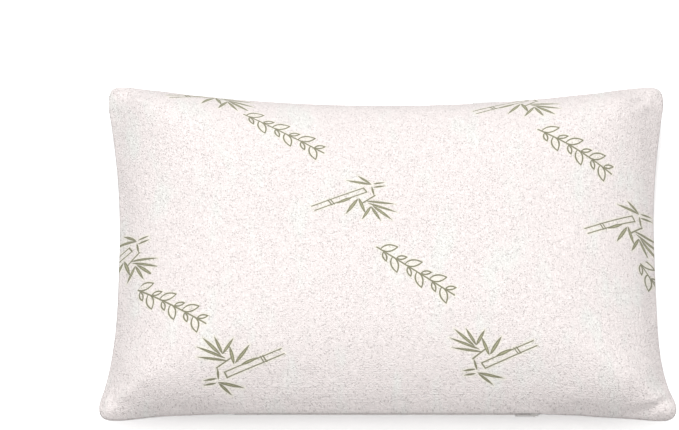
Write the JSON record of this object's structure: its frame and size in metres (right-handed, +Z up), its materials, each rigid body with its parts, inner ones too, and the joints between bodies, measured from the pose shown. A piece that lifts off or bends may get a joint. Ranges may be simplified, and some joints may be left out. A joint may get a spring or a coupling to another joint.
{
  "type": "bed pillow",
  "caption": "Plump oblong bed pillow in a zip-off knit cover with a sparse leaf print, over an inner bag of shredded foam; the zip slider and its pull tab move.",
  "frame": {"origin": "on the surface the pillow lies on, under the middle of its bounding box", "axes": "+X along the pillow's length, +Z up through its thickness, the zip seam on the -Y side"},
  "size_m": [0.72, 0.456, 0.142],
  "materials": {
    "cover_knit": "soft looped viscose knit, off-white with a faint pink cast, printed with sparse olive-green leaf sprigs",
    "liner_cloth": "plain matt woven polyester",
    "seam_thread": "matt polyester overlock thread",
    "shredded_foam": "open-cell shredded memory foam",
    "label_tape": "blank satin label tape",
    "zip_tape": "matt woven tape",
    "zip_nylon": "smooth nylon monofilament coil",
    "stop_metal": "pressed aluminium",
    "slider_enamel": "white enamel over die-cast zinc"
  },
  "bodies": {
    "pillow": {"cover_front_panel": "cover_knit", "cover_back_panel": "cover_knit", "cover_overlock": "seam_thread", "liner_front_panel": "liner_cloth", "liner_back_panel": "liner_cloth", "liner_overlock": "seam_thread", "liner_closing_stitch": "seam_thread", "foam_fill": "shredded_foam", "care_label": "label_tape", "zip_tape_upper": "zip_tape", "zip_tape_lower": "zip_tape", "zip_coil_upper": "zip_nylon", "zip_coil_lower": "zip_nylon", "zip_end_stop": "stop_metal", "zip_top_stop_upper": "stop_metal", "zip_top_stop_lower": "stop_metal"},
    "slider": {"zip_slider": "slider_enamel"},
    "pull": {"zip_pull": "slider_enamel"}
  },
  "joints": [
    {"name": "slider_slide", "type": "slide", "parent": "pillow", "child": "slider", "axis": [1, 0, 0], "range_m": [-0.363, 0]},
    {"name": "pull_hinge", "type": "hinge", "parent": "slider", "child": "pull", "pos_m": [0.1819, -0.21675, 0.062], "axis": [0, 0, 1], "range_deg": [0, 165]}
  ]
}
